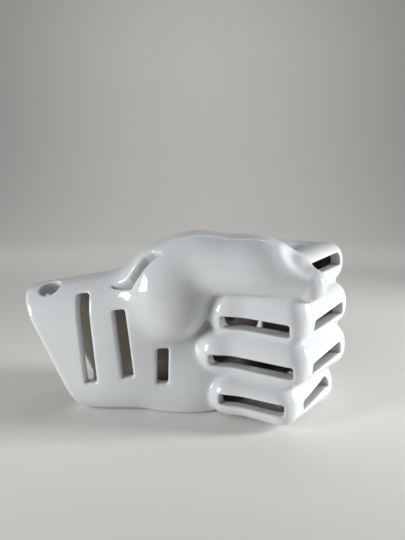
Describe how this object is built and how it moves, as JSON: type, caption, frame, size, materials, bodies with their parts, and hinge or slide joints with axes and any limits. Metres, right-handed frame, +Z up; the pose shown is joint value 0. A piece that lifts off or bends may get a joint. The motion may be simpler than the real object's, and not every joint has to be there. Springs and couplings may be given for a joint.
{
  "type": "ceramic hand sculpture",
  "caption": "Hollow glazed ceramic fist lying on its edge, thumb folded over the fingers, wrist open on a slant, with cut slots along the wrist and fingers.",
  "frame": {"origin": "on the flat base under the palm, in the middle of the hand's length", "axes": "+X from the wrist to the knuckles, +Y from the palm to the back of the hand, +Z up from the base"},
  "size_m": [0.1835, 0.077, 0.1017],
  "materials": {
    "white_glaze": "glossy cool-white glaze with faint specks"
  },
  "bodies": {
    "root": {"palm_shell": "white_glaze", "back_shell": "white_glaze", "thumb": "white_glaze", "index_finger": "white_glaze", "middle_finger": "white_glaze", "ring_finger": "white_glaze", "little_finger": "white_glaze"}
  },
  "joints": []
}
